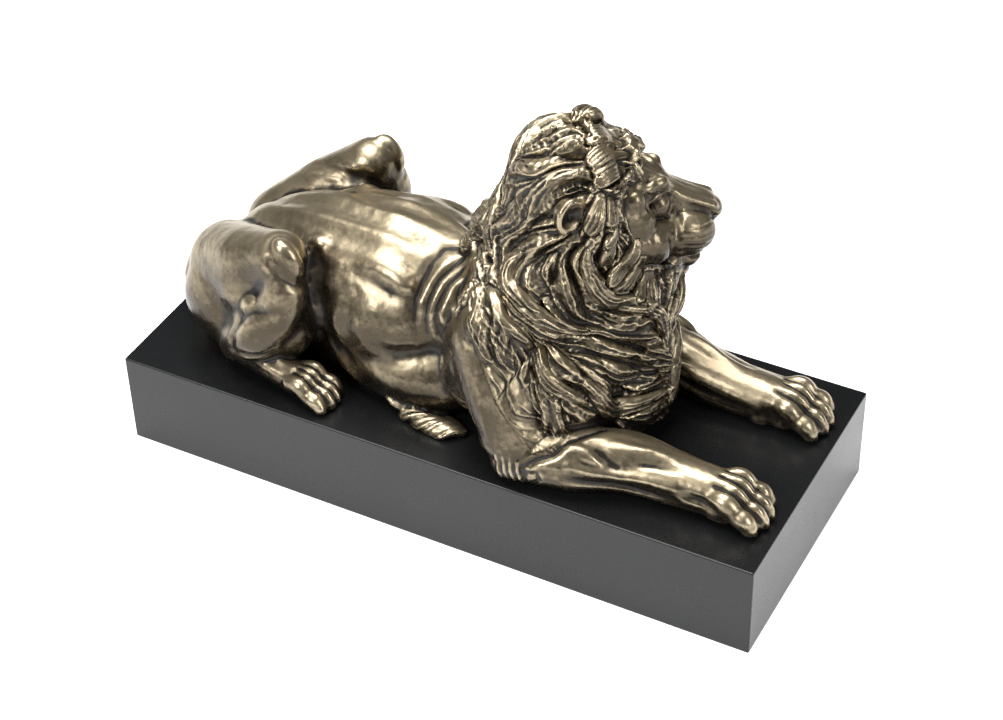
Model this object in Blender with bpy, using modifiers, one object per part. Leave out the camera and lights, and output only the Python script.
"""Reclining lion on a block plinth: a cast figure and the plain block that it lies on.

Metres, +Z up, +X the way the lion faces, origin in the middle of the plinth's underside.
The figure is modelled like clay over the plinth: big masses first, then limbs, face and locks of hair.
"""
import math

import bmesh
import bpy
import numpy as np
from mathutils import Euler, Matrix, Vector
from mathutils.bvhtree import BVHTree

# Driving dimensions, in metres
PLINTH_LENGTH = 0.290
PLINTH_WIDTH = 0.119
PLINTH_HEIGHT = 0.0437
PLINTH_EDGE = 0.0006        # the small bevel along every edge of the block
LION_LENGTH = 0.286         # from the root of the tail to the tips of the forepaws
SEAT_GAP = 0.0003           # the film of glue between the casting and the block

# The figure's own places and radii are shares of its length, written in 286ths
FIGURE_UNIT = LION_LENGTH / 286.0
LION_TRIANGLES = 9000

# Clay: cell sizes of the three stages, and how often each is smoothed
MASS_CELL, MASS_SMOOTH = 1.6, 10
LIMB_CELL, LIMB_SMOOTH = 1.1, 3
LOCK_CELL, LOCK_SMOOTH = 0.8, 1

SIDES = (-1, 1)             # the lion's right is -Y, its left +Y

# The head is turned to the lion's left
HEAD_CENTRE = Vector((39, 0, 109.5))
HEAD_YAW = math.radians(37)
HAIR_CENTRE = Vector((72, 0, 68))       # the hair sweeps round this place, seen from the side
HEAD_FRAME = Matrix.Translation(HEAD_CENTRE) @ Matrix.Rotation(HEAD_YAW, 4, "Z")


def head(forward, left, up):
    """A place in the head's own frame, as a place in the figure."""
    return HEAD_FRAME @ Vector((forward, left, up))


def clear_scene():
    for obj in list(bpy.data.objects):
        bpy.data.objects.remove(obj)


class Clay:
    """Closed shapes heaped together, in figure units; settle() makes them one smooth skin."""

    def __init__(self):
        self.bm = bmesh.new()

    def ball(self, centre, radii, turn=(0, 0, 0), frame=None):
        """An ellipsoid; turn is its rotation about X, Y and Z in degrees."""
        angles = Euler([math.radians(a) for a in turn])
        place = Matrix.LocRotScale(Vector(centre), angles, Vector(radii))
        if frame is not None:
            place = frame @ place
        bmesh.ops.create_icosphere(self.bm, subdivisions=3, radius=1, matrix=place)

    def limb(self, path):
        """A tapering tube through path, a list of (x, y, z, radius)."""
        curve = bpy.data.curves.new("limb", "CURVE")
        curve.dimensions = "3D"
        curve.bevel_depth = 1.0
        curve.bevel_resolution = 7
        curve.resolution_u = curve.render_resolution_u = 6
        curve.use_fill_caps = True
        spline = curve.splines.new("BEZIER")
        spline.bezier_points.add(len(path) - 1)
        for point, (x, y, z, radius) in zip(spline.bezier_points, path):
            point.co = (x, y, z)
            point.radius = radius
            point.handle_left_type = point.handle_right_type = "AUTO"
        obj = bpy.data.objects.new("limb", curve)
        bpy.context.scene.collection.objects.link(obj)
        mesh = bpy.data.meshes.new_from_object(obj.evaluated_get(bpy.context.evaluated_depsgraph_get()))
        self.bm.from_mesh(mesh)
        bpy.data.objects.remove(obj)
        bpy.data.meshes.remove(mesh)
        for x, y, z, radius in (path[0], path[-1]):
            self.ball((x, y, z), (radius,) * 3)

    def add(self, mesh):
        self.bm.from_mesh(mesh)

    def settle(self, cell, smooth):
        """The heap as one skin, with cells of that size, smoothed that many times."""
        mesh = bpy.data.meshes.new("clay")
        self.bm.to_mesh(mesh)
        self.bm.free()
        obj = bpy.data.objects.new("clay", mesh)
        bpy.context.scene.collection.objects.link(obj)
        remesh = obj.modifiers.new("Remesh", "REMESH")
        remesh.mode = "VOXEL"
        remesh.voxel_size = cell
        remesh.adaptivity = 0
        soften = obj.modifiers.new("Smooth", "SMOOTH")
        soften.factor = 0.5
        soften.iterations = smooth
        done = bpy.data.meshes.new_from_object(obj.evaluated_get(bpy.context.evaluated_depsgraph_get()))
        bpy.data.objects.remove(obj)
        bpy.data.meshes.remove(mesh)
        return done


def torso(clay):
    """Trunk, ribs, belly and rump."""
    clay.limb([(-113, 0, 23, 19), (-96, 0, 31, 26), (-68, 0, 37, 32), (-38, 0, 39, 35),
               (-14, 0, 39, 31), (4, 0, 40, 28)])
    for side in SIDES:
        clay.ball((-36, side * 15, 34), (34, 24, 27), (0, 0, side * -4))
        clay.ball((-26, side * 16, 14), (40, 24, 22), (0, 0, side * 3))
        clay.ball((-62, side * 13, 14), (24, 17, 20))
        clay.ball((18, side * 31, 46), (19, 18, 35), (0, 22, 0))


def haunch(clay, side):
    """Thigh, knee and shank of one folded hind leg."""
    low = 0 if side < 0 else 4
    clay.ball((-101, side * 26, 25 - low), (29, 19, 27), (0, -15, side * -8))
    clay.limb([(-112, side * 20, 36 - 1.5 * low, 18 - low / 2), (-93, side * 31, 49 - low, 16),
               (-75, side * 37, 62, 11.5)])
    clay.limb([(-72, side * 39, 60, 9), (-72, side * 43, 44, 10), (-84, side * 44, 26, 12),
               (-98, side * 40, 12, 9)])
    clay.ball((-84, side * 37, 34), (21, 12, 26), (0, -25, 0))


def muscles(clay, side):
    """Forms that stand a little proud: kneecap, calf, ribs, hip and shoulder blade."""
    clay.ball((-69, side * 41, 66), (6.5, 5, 10), (0, -28, 0))
    clay.ball((-79, side * 47, 34), (10, 7, 14), (0, -20, 0))
    clay.ball((-104, side * 36, 24), (14, 9, 18), (0, -10, 0))
    clay.ball((-30, side * 17, 60), (12, 10, 7), (0, 10, 0))
    clay.ball((-66, side * 17, 58), (8, 7, 7))
    clay.ball((20, side * 42, 62), (7, 6, 13), (0, 20, 0))


def toe(clay, root, tip, thick):
    """One toe from root to tip: a knuckle, a dip, a second knuckle and a blunt end."""
    along = [(0, 0, 1.0), (0.36, 0.75, 1.08), (0.62, 0.1, 0.86), (0.86, 0.28, 0.94), (1.0, -0.25, 0.76)]
    clay.limb([(*(root + (tip - root) * share + Vector((0, 0, lift * thick))), thick * size)
               for share, lift, size in along])


def hind_foot(clay, side):
    clay.limb([(-102, side * 36, 8, 8), (-86, side * 41, 8, 7), (-68, side * 45, 7, 7)])
    for number in range(4):
        spread = number - 1.5
        root = Vector((-67, side * (45 + spread * 3.2), 8.5))
        tip = Vector((-48 - abs(spread) * 1.8, side * (46.5 + spread * 4.4), 4))
        toe(clay, root, tip, 3.7)


def foreleg(clay, side):
    """Upper arm, elbow, forearm and wrist of one outstretched foreleg."""
    out = 0 if side < 0 else -4
    clay.limb([(20, side * (33 + out), 50, 18), (29, side * (40 + out), 34, 17.5),
               (36, side * (45 + out), 18, 14.5)])
    clay.ball((36, side * (49.5 + out), 9), (9, 9, 10))
    clay.limb([(40, side * (47.5 + out), 11, 11.7), (58, side * (43 + out), 11.5, 13.5),
               (78, side * (35 + out), 10.5, 12.8), (98, side * (33 + out), 8.5, 11),
               (112, side * (32.5 + out), 8, 10.5), (122, side * (32 + out), 8, 9.5)])


def forepaw(clay, side):
    middle = 32 if side < 0 else 30
    clay.ball((122, side * middle, 6), (14, 11.5, 8.5))
    clay.ball((113, side * (middle - 9), 5), (6, 3.5, 4.5))
    for number in range(4):
        spread = number - 1.5
        root = Vector((119, side * (middle + spread * 4.4), 11.5 - abs(spread) * 0.8))
        tip = Vector((139 - abs(spread) * 2.4, side * (middle + spread * 5.9), 4.6))
        toe(clay, root, tip, 4.5)


def neck_and_mane(clay):
    """The mass of the mane: neck, chest bib, ruff and crown."""
    clay.limb([(20, 0, 48, 31), (28, 0, 70, 30), (36, 0, 92, 28), (39, 0, 106, 25)])
    clay.ball((50, 2, 44), (27, 30, 46), (0, -6, 0))
    clay.ball((64, 11, 59), (13, 16, 20))
    clay.ball((58, 0, 20), (20, 24, 26))
    clay.ball((33, 0, 66), (33, 37, 40), (0, 10, 0))
    for side in SIDES:
        clay.ball((42, side * 27, 28), (24, 20, 32), (0, 10, 0))
    clay.ball((6, 0, -3), (14, 29, 30), frame=HEAD_FRAME)
    clay.ball((-5, 0, 2), (18, 23, 25.5), frame=HEAD_FRAME)


def skull(clay):
    clay.ball((10, 0, -2), (23, 20, 22), frame=HEAD_FRAME)
    for side in SIDES:
        clay.ball((17, side * 12, -13), (14, 9, 16), frame=HEAD_FRAME)


def face(clay):
    """Muzzle, nose, brows, eyes, cheeks and jaw."""
    clay.limb([(*head(22, 0, -2), 11), (*head(36, 0, -10.5), 9), (*head(50, 0, -17), 7.8)])
    clay.ball((55, 0, -17.0), (4.2, 6.4, 4.4), frame=HEAD_FRAME)
    for side in SIDES:
        clay.ball((43.5, side * 6.6, -22.5), (11.8, 8.4, 9.6), (0, 12, 0), frame=HEAD_FRAME)
        clay.limb([(*head(13, side * 12.5, -18), 11), (*head(29, side * 9.5, -22), 10.5),
                   (*head(41, side * 6.5, -25), 9.5)])
        clay.limb([(*head(12, side * 12, -27), 10), (*head(24, side * 9, -34), 9.5),
                   (*head(37, side * 4, -39), 7.5)])
        clay.limb([(*head(19, side * 14.5, 2), 4.4), (*head(25.5, side * 11.5, 4.6), 4.9),
                   (*head(31, side * 8, 3.0), 4.5), (*head(35, side * 5.2, -1.2), 3.4)])
        clay.ball((30.6, side * 11.4, -4.2), (4.4, 4.2, 4.6), frame=HEAD_FRAME)
        clay.ball((19.5, side * 16.5, 3.5), (5.5, 3.8, 5.5), frame=HEAD_FRAME)
        clay.ball((22, side * 15.5, -9), (6.5, 3.6, 7), frame=HEAD_FRAME)
    clay.ball((33, 0, -39), (15, 9, 7.5), frame=HEAD_FRAME)
    clay.ball((44, 0, -41), (7.5, 7.5, 6.5), frame=HEAD_FRAME)


def ears(clay):
    for side in SIDES:
        clay.ball((-7, side * 27, 5.5), (6.5, 4.8, 8.8), frame=HEAD_FRAME)


def tail(clay):
    """Down from the rump and round the far haunch, to a tuft."""
    clay.limb([(-120, 0, 30, 10), (-131, -7, 24, 9), (-136, -9, 10, 8), (-134, 8, 6, 6.5), (-126, 26, 6, 6),
               (-111, 42, 6, 5.5), (-92, 48, 6, 5.5)])
    clay.ball((-80, 48, 5), (14, 6, 5.5))


def belly_fringe(clay):
    clay.ball((-8, -37, 2), (18, 8, 4), (0, 0, -6))


def tufts(clay, body):
    """The fringe that lies beside the belly, and the tuft at the tail's end."""
    surface = surface_of(body)

    def trailing(place, normal):
        way = Vector((1, -0.5 * math.cos(place.x / 5), 0))
        return (way - normal * way.dot(normal)).normalized()

    for number in range(7):
        root = (-24 + number * 3.5, -39 - 2.4 * math.sin(number), 3 + 1.5 * (number % 2))
        Lock(surface, root, 17, 2.8, 2.4, trailing, pitch=1.5).build(clay.bm)
    for number in range(6):
        root = (-94 + 2 * number, 49 + 3 * math.cos(number * 2), 8 + 2 * math.sin(number * 2))
        Lock(surface, root, 22, 2.6, 1.8, trailing, pitch=1.5).build(clay.bm)


def in_mane(point, margin=0):
    """Whether hair grows at that place of the figure, or within margin behind the mane's edge."""
    local = HEAD_FRAME.inverted() @ point
    face_zone = local.x > 20 and abs(local.y) < 26 and local.z > -44
    edge = -3 + 8 * min(abs(point.y) / 22, 1) + max(0, 82 - point.z) * 0.7 * min(abs(point.y) / 30, 1)
    return not (face_zone or point.x < edge - margin or point.z < 5)


def combed(point, normal):
    """The way the hair runs there: back over the crown, down behind the ear and forward below."""
    left = Vector((0, 1, 0))
    arm = point - HAIR_CENTRE
    arm.y = 0
    reach = max(arm.length, 1)
    outward = arm / reach
    ahead = min(max(arm.x / 12, 0), 1) * min(max(1.5 - arm.z / 45, 0), 1)
    near = min(max((46 - reach) / 20, 0), 1) * min(max(arm.z / 20, 0), 1)
    run = (-left).cross(outward) * (1 - ahead) + outward * (0.12 * outward.z + 0.02)
    run += Vector((0.05, 0, -1)) * (0.12 + ahead + near * 0.9)
    run -= normal * run.dot(normal)
    run.normalize()
    wave = 0.5 * math.sin(math.atan2(-arm.x, arm.z) * reach / 5.5 + reach / 9)
    return (run + normal.cross(run) * wave).normalized()


class Lock:
    """One lock of hair: a pointed ribbon with a crest, laid along the flow over a surface."""

    def __init__(self, surface, place, length, width, height, run, inside=None, pitch=2.5):
        place, normal, _, _ = surface.find_nearest(Vector(place))
        trail = []
        for step in range(max(int(length / pitch), 4) + 1):
            if inside and not inside(place):
                break
            way = run(place, normal)
            trail.append((place, normal, way))
            place, new_normal, _, _ = surface.find_nearest(place + way * pitch)
            normal = (normal + new_normal * 2).normalized()
        self.places = []
        if len(trail) < 5:
            return
        for step, (place, normal, way) in enumerate(trail):
            share = step / (len(trail) - 1)
            taper = max(math.sin(math.pi * (0.14 + share * 0.86)), 0) ** 0.75
            lift = height * (-0.35 + math.sin(math.pi * share * 0.85))
            middle = place + normal * lift
            self.places.append((middle, normal, way, width * taper + 0.3, height * taper + 0.3))

    def build(self, bm, sides=12):
        if not self.places:
            return
        rings = []
        for place, normal, way, half_width, half_height in self.places:
            across = way.cross(normal).normalized()
            ring = []
            for corner in range(sides):
                angle = 2 * math.pi * corner / sides
                crest = math.copysign(abs(math.sin(angle)) ** 1.4, math.sin(angle))
                ring.append(bm.verts.new(place + across * math.cos(angle) * half_width
                                         + normal * crest * half_height))
            rings.append(ring)
        for ring, following in zip(rings, rings[1:]):
            for corner in range(sides):
                after = (corner + 1) % sides
                bm.faces.new((ring[corner], ring[after], following[after], following[corner]))
        bm.faces.new(list(reversed(rings[0])))
        bm.faces.new(rings[-1])


def surface_of(mesh):
    bm = bmesh.new()
    bm.from_mesh(mesh)
    tree = BVHTree.FromBMesh(bm)
    bm.free()
    return tree


def mane_locks(clay, rough, along, across, seed):
    """Long locks over the whole mane: sparse along the flow and close beside each other."""
    rng = np.random.default_rng(seed)
    surface = surface_of(rough)
    places = [v.co.copy() for v in rough.vertices if in_mane(v.co)]
    kept = []
    for index in rng.permutation(len(places)):
        place, normal, _, _ = surface.find_nearest(places[index])
        run = combed(place, normal)
        for other in kept:
            gap = place - other
            forward = gap.dot(run)
            if (forward / along) ** 2 + (gap - run * forward).length_squared / across ** 2 < 1:
                break
        else:
            kept.append(place)
    for place in kept:
        length = rng.uniform(1.5, 2.1) * along
        Lock(surface, place, length, across * rng.uniform(0.5, 0.68), rng.uniform(2.0, 3.0),
             combed, lambda point: in_mane(point, 7)).build(clay.bm)


def ruff(clay, rough, seed):
    """Short thick locks in rows round the face, flicked back and down."""
    rng = np.random.default_rng(seed)
    surface = surface_of(rough)
    back = HEAD_FRAME.to_3x3() @ Vector((-1, 0, 0))
    for side in SIDES:
        for row, (forward, reach, count) in enumerate(((22, 22, 8), (15, 26, 9), (7, 29, 9))):
            for number in range(count):
                angle = math.radians(96 - 155 * (number + 0.5 * (row % 2)) / (count - 1))
                root = head(forward - 3 * math.cos(angle), side * reach * math.cos(angle) * 0.9,
                            -6 + reach * math.sin(angle) * 1.15)
                outward = HEAD_FRAME.to_3x3() @ Vector((0, side * math.cos(angle), math.sin(angle)))
                twist = rng.uniform(-0.25, 0.25)

                def flick(place, normal):
                    way = back * 0.7 + outward * 0.25 + Vector((0, 0, -0.9 + twist))
                    way -= normal * way.dot(normal)
                    return way.normalized()

                Lock(surface, root, rng.uniform(13, 18), rng.uniform(2.6, 3.4), rng.uniform(2.4, 3.4),
                     flick, pitch=1.5).build(clay.bm)


def carve(mesh, path, width, depth):
    """A groove (or, with a negative depth, a ridge) along path, sunk into the skin."""
    surface = surface_of(mesh)
    line = [surface.find_nearest(Vector(p))[0] for p in path]
    fine = []
    for start, end in zip(line, line[1:]):
        parts = max(int((end - start).length / (width * 0.2)), 1)
        fine += [surface.find_nearest(start.lerp(end, k / parts))[0] for k in range(parts)]
    fine = np.array([tuple(p) for p in fine + [line[-1]]])
    count = len(mesh.vertices)
    places = np.empty(count * 3)
    mesh.vertices.foreach_get("co", places)
    places = places.reshape(-1, 3)
    normals = np.empty(count * 3)
    mesh.vertex_normals.foreach_get("vector", normals)
    normals = normals.reshape(-1, 3)
    low, high = fine.min(0) - width, fine.max(0) + width
    near = np.flatnonzero(((places > low) & (places < high)).all(1))
    distance = np.sqrt(((places[near, None] - fine[None]) ** 2).sum(2))
    closest = distance.argmin(1)
    ends = np.sin(np.pi * np.clip(0.08 + 0.84 * closest / (len(fine) - 1), 0, 1)) ** 0.6
    sink = depth * ends * np.clip(1 - (distance.min(1) / width) ** 2, 0, 1) ** 2
    places[near] -= normals[near] * sink[:, None]
    mesh.vertices.foreach_set("co", places.ravel())
    mesh.update()


def carve_body(mesh):
    """Folds behind the shoulders, furrows along the back and the hollows of the haunches."""
    for side in SIDES:
        for number in range(4):
            x = -12 + number * 6
            fold = [(x + 4, side * 16, 70), (x - 2, side * 32, 60),
                    (x - 5, side * 36, 46), (x, side * 38, 30)]
            carve(mesh, fold, 3.0, 1.5)
        for number in range(3):
            y = side * (5 + number * 8)
            furrow = [(-118, y * 0.8, 40), (-90, y, 58), (-60, y * 1.1, 70), (-26, y * 1.05, 74)]
            carve(mesh, furrow, 3.5, 1.1)
        carve(mesh, [(-98, side * 46, 52), (-88, side * 48, 46), (-76, side * 50, 48)], 6, 2.0)
        carve(mesh, [(-82, side * 40, 70), (-72, side * 44, 66), (-64, side * 43, 56)], 4, -1.6)
        shank = [(-112, side * 42, 30), (-100, side * 48, 22), (-88, side * 52, 26), (-84, side * 52, 36)]
        carve(mesh, shank, 5, 2.2)
        flank = [(-60, side * 30, 60), (-54, side * 32, 40), (-46, side * 34, 22), (-30, side * 38, 10)]
        carve(mesh, flank, 7, 2.0)


def carve_feet(mesh):
    """The clefts between the toes, and the fold between forearm and upper arm."""
    for side in SIDES:
        middle = 32 if side < 0 else 30
        for gap in (-1, 0, 1):
            cleft = [(123, side * (middle + gap * 4.6), 16), (133, side * (middle + gap * 5.2), 13),
                     (143, side * (middle + gap * 5.6), 2)]
            carve(mesh, cleft, 2.4, 2.2)
            carve(mesh, [(-63, side * (45.5 + gap * 3.8), 13), (-53, side * (46.5 + gap * 4.5), 10),
                         (-44, side * (46.5 + gap * 4.8), 2)], 2.2, 2.0)
        elbow = [(46, side * 57, 3), (44, side * 56, 14), (52, side * 50, 24), (62, side * 40, 26)]
        carve(mesh, elbow, 3.5, 2.2)


def carve_face(mesh):
    """Lips, nostrils, the sides of the bridge, and the hollows under brow and cheek."""
    for side in SIDES:
        carve(mesh, [head(57, side * 1, -32), head(52, side * 7, -32), head(45, side * 12, -32),
                     head(37, side * 13, -31)], 2.6, 2.6)
        carve(mesh, [head(58, side * 3.2, -18), head(57, side * 6, -20)], 2.0, 1.8)
        carve(mesh, [head(52, side * 7.5, -14), head(42, side * 9, -12), head(35, side * 8, -8)], 2.5, 1.3)
        carve(mesh, [head(37, side * 6, -6), head(35, side * 12, -8.5), head(30, side * 17, -7)], 1.8, 1.3)
        carve(mesh, [head(38, side * 5, -1.5), head(35, side * 11, 0.5), head(28, side * 17, 0)], 1.8, 1.3)
        cheek = [head(36, side * 14, -14), head(35, side * 15, -22), head(36, side * 14, -30)]
        carve(mesh, cheek, 3.5, 0.7)
    carve(mesh, [head(61, 0, -20), head(59, 0, -31)], 1.8, 1.4)


def carve_ears(mesh):
    for side in SIDES:
        carve(mesh, [head(-7, side * 32, 9), head(-6, side * 33, 4), head(-5, side * 32, 0)], 4.5, 4.0)


def cast_lion():
    masses = Clay()
    torso(masses)
    for side in SIDES:
        haunch(masses, side)
    neck_and_mane(masses)
    skull(masses)
    rough = masses.settle(MASS_CELL, MASS_SMOOTH)

    limbs = Clay()
    limbs.add(rough)
    for side in SIDES:
        muscles(limbs, side)
        foreleg(limbs, side)
        forepaw(limbs, side)
        hind_foot(limbs, side)
    face(limbs)
    ears(limbs)
    tail(limbs)
    belly_fringe(limbs)
    body = limbs.settle(LIMB_CELL, LIMB_SMOOTH)
    carve_body(body)
    carve_face(body)
    carve_feet(body)

    hair = Clay()
    hair.add(body)
    mane_locks(hair, rough, 20.0, 5.2, 5)
    ruff(hair, rough, 8)
    tufts(hair, body)
    skin = hair.settle(LOCK_CELL, LOCK_SMOOTH)
    carve_ears(skin)
    return skin


def finish_lion(mesh, collection, material):
    """The figure at its real size on the block, cut flat below and thinned to fewer faces."""
    seat = PLINTH_HEIGHT + SEAT_GAP
    bm = bmesh.new()
    bm.from_mesh(mesh)
    bmesh.ops.scale(bm, vec=(FIGURE_UNIT,) * 3, verts=bm.verts)
    bmesh.ops.translate(bm, vec=(0, 0, seat), verts=bm.verts)
    bmesh.ops.triangulate(bm, faces=bm.faces)
    bm.to_mesh(mesh)
    faces = len(bm.faces)
    bm.free()
    lion = bpy.data.objects.new("lion", mesh)
    collection.objects.link(lion)
    mesh.shade_smooth()
    mesh.materials.clear()
    mesh.materials.append(material)
    thin = lion.modifiers.new("Fewer faces", "DECIMATE")
    thin.ratio = LION_TRIANGLES / faces

    bpy.ops.mesh.primitive_cube_add(size=1, location=(0, 0, seat - PLINTH_HEIGHT / 2))
    cutter = bpy.context.object
    cutter.name = cutter.data.name = "seat_cutter"
    cutter.dimensions = (PLINTH_LENGTH * 1.5, PLINTH_WIDTH * 1.5, PLINTH_HEIGHT)
    bpy.ops.object.transform_apply(location=False, rotation=False, scale=True)
    cutter.hide_render = True
    cutter.display_type = "WIRE"
    tools = bpy.data.collections.new("cutters")
    bpy.context.scene.collection.children.link(tools)
    for other in list(cutter.users_collection):
        other.objects.unlink(cutter)
    tools.objects.link(cutter)
    flat = lion.modifiers.new("Flat seat", "BOOLEAN")
    flat.operation = "DIFFERENCE"
    flat.solver = "EXACT"
    flat.object = cutter
    return lion


def make_material(name, colour, roughness, metallic):
    material = bpy.data.materials.new(name)
    material.use_nodes = True
    shader = material.node_tree.nodes["Principled BSDF"]
    shader.inputs["Base Color"].default_value = (*colour, 1)
    shader.inputs["Roughness"].default_value = roughness
    shader.inputs["Metallic"].default_value = metallic
    return material


def make_plinth(collection, material):
    bpy.ops.mesh.primitive_cube_add(size=1, location=(0, 0, PLINTH_HEIGHT / 2))
    obj = bpy.context.object
    obj.name = obj.data.name = "plinth"
    obj.dimensions = (PLINTH_LENGTH, PLINTH_WIDTH, PLINTH_HEIGHT)
    bpy.ops.object.transform_apply(location=False, rotation=False, scale=True)
    bevel = obj.modifiers.new("Eased edges", "BEVEL")
    bevel.width = PLINTH_EDGE
    bevel.segments = 2
    obj.data.materials.append(material)
    for other in list(obj.users_collection):
        other.objects.unlink(obj)
    collection.objects.link(obj)
    return obj


def main():
    clear_scene()
    collection = bpy.data.collections.new("reclining_lion_statue")
    bpy.context.scene.collection.children.link(collection)
    bronze = make_material("cast_bronze", (0.30, 0.22, 0.13), 0.32, 1.0)
    black = make_material("black_lacquer", (0.03, 0.03, 0.032), 0.38, 0.0)
    make_plinth(collection, black)
    finish_lion(cast_lion(), collection, bronze)


main()
